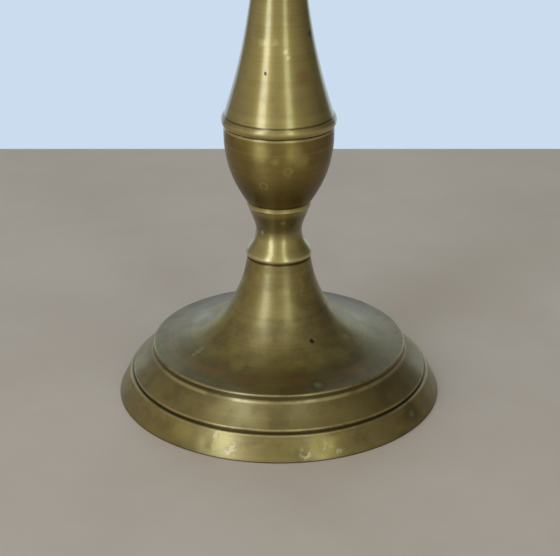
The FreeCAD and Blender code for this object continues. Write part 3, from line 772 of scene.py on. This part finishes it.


# Each look: patches are (finish, size, fade from, fade to, strength, zones), spots are (finish,
# strength, places); dark (painted shade over some real dark deposit), the rubbed edges (painted
# highlights over real rubbing) and zones are rings or bands, and the rest are places.

# Cast and then turned, with its lacquer mostly worn off: browner and rougher than the rest, coppery
# on the edge of the disc, with crumbly pale spots on the bevel.
footBrass = {
    "base": "footOlive", "tarnish": "footBrown", "cloudSize": 26, "clouds": 0.9,
    "mottleWith": "bronzeTarnishAndShade", "mottle": 0.28,
    "lineDark": 0.18, "lineBright": 0.10, "lineRelief": 0.20, "grainRelief": 0.22, "streaking": 0.6,
    "lacquer": 0.35, "lacquerRoughness": 0.22,
    "patches": [("bronzeTarnishAndShade", 30, 0.15, 0.30, 0.34, [(38.0, 18.3, 12.0, 1.0)]),
                ("copper", 7, 0.40, 0.66, 0.5, [(36.2, 19.0, 2.6, 1.0)]),
                ("yellow", 6, 0.50, 0.72, 0.5, [(27.5, 22.2, 7.0, 1.0)]),
                ("yellow", 5, 0.52, 0.70, 0.5, [("band", 1.5, 7, 1, 1.0)]),
                ("olive", 12, 0.48, 0.62, 0.6, [("band", 24, 49, 4, 1.0)])],
    "spots": [("copper", 0.35, [((-29.4, -20.3, 19.2), 4.0), ((-19.7, -27.6, 19.6), 4.0),
                                ((26.3, -27.3, 18.6), 3.5)]),
              ("yellow", 0.5, [((-14.2, -21.1, 23.3), 2.6), ((-13.4, -27.3, 20.9), 3.2)]),
              ("olive", 0.45, [((-31.1, -42.4, 5.1), 5.5), ((14.5, -51.6, 3.3), 6.5),
                               ((-18.0, -50.0, 4.5), 6.0)]),
              ("rubbedAndHighlight", 0.32, [((-27.0, -16.3, 20.4), 1.5), ((-25.8, -15.3, 20.9), 1.3),
                                ((-28.3, -17.3, 19.9), 1.1)]),
              ("bronzeTarnishAndShade", 0.5, [((43.7, -29.3, 5.3), 5.0), ((12.6, -36.8, 18.5), 4.0)])],
    # dark: painted shade in the ledge corner, on the upright step of the disc where the shaded table is
    # reflected, under the reel's lip, and a painted contact shadow along the bottom of the rim
    "dark": [(50.0, 8.3, 0.9, 0.9), ("band", 15.8, 17.35, 0.2, 0.75), (10.6, 49.0, 0.7, 0.9),
             ("band", -1, 0.4, 0.3, 0.9)],
    # edge rings: painted highlights on the top of the bevel, the ledge, the disc's edge and the top of
    # the cone
    "edges": [(51.2, 7.9, 0.7, 0.45), (49.95, 9.0, 0.6, 0.5), (42.9, 17.85, 0.7, 0.45),
              (43.2, 15.4, 1.0, 0.5)],
    "flaky": [((-19.9, -48.0, 6.4), 2.2), ((-20.6, -49.3, 3.6), 1.8), ((-15.3, -51.4, 3.2), 3.0),
              ((8.3, -53.2, 2.7), 2.6), ((14.5, -51.6, 3.3), 3.2), ((18.7, -50.4, 3.0), 2.6)],
    "waterMarks": [],
    "pits": [((10.9, -19.2, 25.7), 1.1)],
    "verdigris": [((-32.8, -19.7, 18.6), 2.4), ((22.5, -11.4, 23.4), 1.8), ((12.6, -36.8, 18.5), 2.4),
                  ((43.8, -30.0, 4.2), 2.0), ((-20.0, 38.0, 17.5), 2.2), ((30.0, 30.5, 17.8), 1.6)],
    "lime": [((-50.2, 7.3, 7.9), 1.2)],
}

# Turned and lacquered: smooth olive yellow with long bright streaks; painted shade, brown, in the waist
# of the reel and in the seams.
stemBrass = {
    "base": "olive", "tarnish": "brown", "cloudSize": 22, "clouds": 0.6,
    "mottleWith": "bronzeTarnishAndShade", "mottle": 0.14,
    "lineDark": 0.16, "lineBright": 0.14, "lineRelief": 0.20, "grainRelief": 0.15, "streaking": 0.75,
    "lacquer": 1.0, "lacquerRoughness": 0.14,
    "patches": [("yellow", 10, 0.50, 0.70, 0.4, [])],
    "spots": [("copper", 0.6, [((7.2, -11.4, 113.0), 3.4), ((-11.0, 1.0, 121.0), 3.0)]),
              ("rubbedAndHighlight", 0.6, [((2.1, -11.4, 121.2), 1.2), ((3.1, -11.6, 119.4), 1.0),
                               ((-5.2, -9.8, 123.6), 1.8), ((-1.2, -11.0, 123.9), 1.5)]),
              ("bronzeTarnishAndShade", 0.8, [((9.6, -4.9, 125.3), 1.6)])],
    # dark: painted shade in the waist and under the lip of the reel, in the seams on either side of the
    # bowl, and in the groove over the bead
    "dark": [("band", 58, 66, 2.5, 0.75), (10.5, 49.2, 0.5, 0.9), (10.8, 68.95, 0.8, 0.9),
             (18.0, 94.6, 0.7, 0.95), (17.9, 98.0, 0.5, 0.8)],
    # edge rings: painted highlights on the bead, the reel's lip and the lower edge of its band
    "edges": [(18.8, 96.4, 0.8, 0.3), (11.0, 50.5, 0.8, 0.9), (10.65, 67.2, 0.8, 0.6)],
    "flaky": [], "waterMarks": [],
    "pits": [((-4.2, -12.4, 114.6), 0.75)],
    "verdigris": [((7.5, 6.0, 140.0), 1.4), ((1.6, -9.0, 63.5), 1.3)],
    "lime": [((-5.6, -5.3, 58.9), 1.0), ((-12.3, -13.2, 94.2), 0.9)],
}

# Turned like the stem, but browner and with its lacquer mostly gone, so it shines less.
bowlBrass = dict(stemBrass)
bowlBrass.update({
    "base": "brown", "tarnish": "bronzeTarnishAndShade", "cloudSize": 16, "clouds": 0.55, "lacquer": 0.3,
    "spots": [("olive", 0.55, [((5.2, -17.2, 89.5), 4.2), ((7.4, -16.2, 87.0), 3.4),
                               ((-6.0, -17.0, 90.1), 4.4), ((-1.1, -17.8, 87.4), 1.3)])],
    # dark: painted shade on the lower, downward-facing part of the bowl and in its two seams
    "dark": [("band", 68.9, 77, 6.0, 0.55), (10.8, 68.95, 0.8, 0.9), (18.0, 94.6, 0.7, 0.95)],
    # edge ring: a painted highlight along the top of the bowl
    "edges": [(17.9, 94.0, 0.7, 0.7)],
    "waterMarks": [((-1.1, -17.8, 87.4), 1.1), ((2.9, -17.1, 83.9), 1.3), ((-4.9, -15.1, 78.5), 1.2)],
})

# Spun and turned sheet and bar, lacquered: an even olive yellow, with a little brown painted shade in the
# corners and seams.
topBrass = {
    "base": "olive", "tarnish": "brown", "cloudSize": 18, "clouds": 0.7,
    "mottleWith": "bronzeTarnishAndShade", "mottle": 0.16,
    "lineDark": 0.16, "lineBright": 0.14, "lineRelief": 0.20, "grainRelief": 0.15, "streaking": 0.75,
    "lacquer": 0.8, "lacquerRoughness": 0.16,
    "patches": [("copper", 7, 0.56, 0.70, 0.4, []), ("yellow", 9, 0.52, 0.68, 0.4, [])],
    "spots": [],
    # dark: painted shade in the fillets and seams, under the pan, where the nozzle sits on the cup, and
    # in the waist of the stalk
    "dark": [(9.7, 170.7, 1.0, 0.9), (9.3, 181.1, 1.0, 0.9), (12.4, 193.3, 0.8, 0.9),
             (11.3, 194.9, 1.2, 0.9), (15.6, 232.0, 0.8, 0.9), ("band", 184, 190, 2, 0.4)],
    # edge rings: painted highlights on the ring knop, the pan's rim, the cup's lip and the nozzle's
    # flange
    "edges": [(13.2, 176, 2.0, 0.3), (31.0, 199.2, 1.2, 0.5), (16.7, 233.2, 1.0, 0.5),
              (20.0, 237.2, 1.0, 0.5)],
    "flaky": [], "waterMarks": [((17.0, -12.0, 195.5), 2.0), ((-14.0, 15.0, 195.5), 2.6)],
    "pits": [((20.0, -9.0, 195.0), 0.9)],
    "verdigris": [((-11.0, -2.0, 195.5), 1.8), ((26.5, 9.0, 196.0), 1.5)],
    "lime": [((14.0, 12.5, 195.0), 1.4), ((-15.0, -14.0, 195.0), 1.2)],
}

brassOfFoot = agedBrass("tarnishedCastBrassFoot", footBrass)
brassOfStem = agedBrass("tarnishedTurnedBrassStem", stemBrass)
brassOfBowl = agedBrass("tarnishedTurnedBrassBowl", bowlBrass)
brassOfTop = agedBrass("tarnishedSpunBrassTop", topBrass)
print("brass finishes mixed")

brassPieces = [
    (makeFoot, "foot", brassOfFoot, "aged_brass_foot", "stick"),
    (makeReel, "reel_knop", brassOfStem, "aged_brass_stem", "stick"),
    (makeBowl, "acorn_bowl", brassOfBowl, "aged_brass_stem", "stick"),
    (makeStem, "tapered_stem", brassOfStem, "aged_brass_stem", "stick"),
    (makeRing, "neck_ring_knop", brassOfTop, "aged_brass_top", "stick"),
    (makeStalk, "pan_stalk", brassOfTop, "aged_brass_top", "stick"),
    (makePan, "drip_pan", brassOfTop, "aged_brass_top", "stick"),
    (makeCup, "candle_cup", brassOfTop, "aged_brass_top", "stick"),
    (makeNozzle, "candle_nozzle", brassOfTop, "aged_brass_top", "nozzle"),
]
for make, node, material, slotName, body in brassPieces:
    piece = make()
    piece.data.materials.append(material)
    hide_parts(node)
    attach(piece, body)
    print("turned", piece.name, "with", len(piece.data.polygons), "faces")


# Plain rolled steel with no plating: dull grey, clouded darker, with brown rust starting in patches.
steelLook = {
    "clean": "#8f8d88", "dull": "#5d5a55", "rust": "#5b3a22",
    "cleanRoughness": 0.38, "dullRoughness": 0.53, "rustRoughness": 0.85, "rustMetallic": 0.1,
    "dullSize": 3.0, "dullFade": (0.40, 0.62), "rustSize": 1.8, "rustFade": (0.58, 0.70),
    "grainPerMm": 2.4, "grainDepth": 0.02, "grainStrength": 0.8,
}


def dullSteel(name, look):
    material = bpy.data.materials.new(name)
    material.use_nodes = True
    tree = material.node_tree
    tree.nodes.clear()
    coords = addNode(tree, "TexCoord", {}, "Object")
    clean = {"colour": fromHex(look["clean"]), "roughness": look["cleanRoughness"], "metallic": 1.0}
    dull = {"colour": fromHex(look["dull"]), "roughness": look["dullRoughness"], "metallic": 1.0}
    rust = {"colour": fromHex(look["rust"]), "roughness": look["rustRoughness"],
            "metallic": look["rustMetallic"]}
    surface = layOver(tree, clean, dull, patches(tree, coords, look["dullSize"], look["dullFade"]))
    surface = layOver(tree, surface, rust, patches(tree, coords, look["rustSize"], look["rustFade"]))
    grain = addNode(tree, "TexNoise", {"Vector": coords, "Scale": 1000 * look["grainPerMm"],
                                       "Detail": 3.0})
    bump = addNode(tree, "Bump", {"Height": grain, "Distance": mm(look["grainDepth"]),
                                  "Strength": look["grainStrength"]})
    shader = addNode(tree, "BsdfPrincipled", {
        "Base Color": surface["colour"], "Metallic": surface["metallic"],
        "Roughness": surface["roughness"], "Normal": bump})
    addNode(tree, "OutputMaterial", {"Surface": shader})
    return material


steel = dullSteel("dullRolledSteel", steelLook)
for node in ("tie_rod", "foot_plate_washer", "foot_spring_washer", "foot_nut", "cup_washer", "cup_nut"):
    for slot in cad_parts[node].material_slots:
        slot.material = steel
print("steel finished")


# Studio: a board to stand on, painted a matt pale cream by brush, in metres; its two tones lie in
# patches 40 mm wide.
board = {
    "colour": "#dccfba", "shade": "#d6c8b2", "roughness": 0.6,
    "patchSize": 40, "patchFade": (0.35, 0.65),
    "front": -0.55, "back": 0.262, "halfWidth": 0.7, "thickness": 0.012,
    "edgeRound": 0.002, "edgeSegments": 3,
}


def makeBoard():
    bpy.ops.object.select_all(action="DESELECT")
    depth = board["back"] - board["front"]
    middle = (0, board["front"] + depth / 2, -board["thickness"] / 2)
    bpy.ops.mesh.primitive_cube_add(size=1, location=middle)
    top = bpy.context.object
    top.name = "paleBoard"
    top.scale = (2 * board["halfWidth"], depth, board["thickness"])
    bpy.ops.object.transform_apply(location=True, rotation=True, scale=True)
    bpy.ops.object.mode_set(mode="EDIT")
    bpy.ops.mesh.select_all(action="SELECT")
    bpy.ops.mesh.bevel(offset=board["edgeRound"], segments=board["edgeSegments"])
    bpy.ops.object.mode_set(mode="OBJECT")
    bpy.ops.object.shade_smooth_by_angle(angle=math.radians(making["smoothUnder"]))
    material = bpy.data.materials.new("palePaintedBoard")
    material.use_nodes = True
    tree = material.node_tree
    tree.nodes.clear()
    coords = addNode(tree, "TexCoord", {}, "Object")
    brushed = patches(tree, coords, board["patchSize"], board["patchFade"])
    colour = addNode(tree, "Mix", {0: brushed, 6: fromHex(board["colour"]),
                                   7: fromHex(board["shade"])}, 2, data_type="RGBA")
    shader = addNode(tree, "BsdfPrincipled", {"Base Color": colour, "Roughness": board["roughness"]})
    addNode(tree, "OutputMaterial", {"Surface": shader})
    top.data.materials.append(material)


makeBoard()

# Upright windows: degrees to the right of straight in front, distance, width and height in metres,
# colour, watts. The camera doesn't see them, so they never hide the object.
windows = {
    "leftWindow": (-38, 1.20, 0.36, 2.60, "#cad9ff", 11.5),
    "rightWindow": (23, 1.20, 0.26, 2.60, "#dcefff", 4.2),
}
for name, (azimuth, distance, width, height, colour, watts) in windows.items():
    turn = math.radians(azimuth)
    bpy.ops.object.select_all(action="DESELECT")
    bpy.ops.object.light_add(type="AREA", rotation=(math.radians(90), 0, turn),
                             location=(math.sin(turn) * distance, -math.cos(turn) * distance, height / 2))
    lamp = bpy.context.object
    lamp.name = name
    lamp.visible_camera = False
    lamp.data.shape = "RECTANGLE"
    lamp.data.size, lamp.data.size_y = width, height
    lamp.data.color = fromHex(colour)[:3]
    lamp.data.energy = watts
print("board and windows set")

# The room round it: lightest to the front and left, dimmer low down, and a pale blue wall behind.
# The fades are ranges of a direction's lean: towards the light, upwards, and towards the wall.
room = {
    "tint": "#fbf7f0", "lightFrom": (-0.42, -0.91, 0.0), "lightFade": (-0.66, 0.91),
    "dark": 0.13, "light": 0.66, "lowFade": (-0.35, 0.0), "lowShare": 0.45,
    "wall": "#cbdcee", "wallBrightness": 1.0, "wallFade": (0.72, 0.82),
}
scene = bpy.context.scene
world = bpy.data.worlds.new("softRoom")
world.use_nodes = True
tree = world.node_tree
tree.nodes.clear()
direction = addNode(tree, "TexCoord", {}, "Generated")
facing = addNode(tree, "VectorMath", {0: direction, 1: room["lightFrom"]}, 1, operation="DOT_PRODUCT")
level = addNode(tree, "MapRange", {0: facing, 1: room["lightFade"][0], 2: room["lightFade"][1],
                                   3: room["dark"], 4: room["light"]})
upwards = addNode(tree, "SeparateXYZ", {0: direction}, "Z")
low = addNode(tree, "MapRange", {0: upwards, 1: room["lowFade"][0], 2: room["lowFade"][1],
                                 3: room["lowShare"], 4: 1.0}, interpolation_type="SMOOTHSTEP")
level = addNode(tree, "Math", {0: level, 1: low}, operation="MULTIPLY")
aroundRoom = addNode(tree, "Background", {"Color": fromHex(room["tint"]), "Strength": level})
wall = addNode(tree, "Background", {"Color": fromHex(room["wall"]), "Strength": room["wallBrightness"]})
backwards = addNode(tree, "SeparateXYZ", {0: direction}, "Y")
wallShape = addNode(tree, "MapRange", {0: backwards, 1: room["wallFade"][0], 2: room["wallFade"][1]},
                    interpolation_type="SMOOTHSTEP")
whole = addNode(tree, "MixShader", {0: wallShape, 1: aroundRoom, 2: wall})
addNode(tree, "OutputWorld", {"Surface": whole})
scene.world = world
scene.view_settings.view_transform = "Standard"

# camera: place and nearest view in metres, tilt in degrees, lens and sensor in millimetres
cameraPlace = {"location": (0.00034, -0.46623, 0.23982), "tilt": 66.81, "lens": 96.43, "sensor": 36,
               "nearest": 0.01}
bpy.ops.object.camera_add(location=cameraPlace["location"],
                          rotation=(math.radians(cameraPlace["tilt"]), 0, 0))
camera = bpy.context.object
camera.name = "mainCamera"
camera.data.lens = cameraPlace["lens"]
camera.data.sensor_width = cameraPlace["sensor"]
camera.data.clip_start = cameraPlace["nearest"]
scene.camera = camera
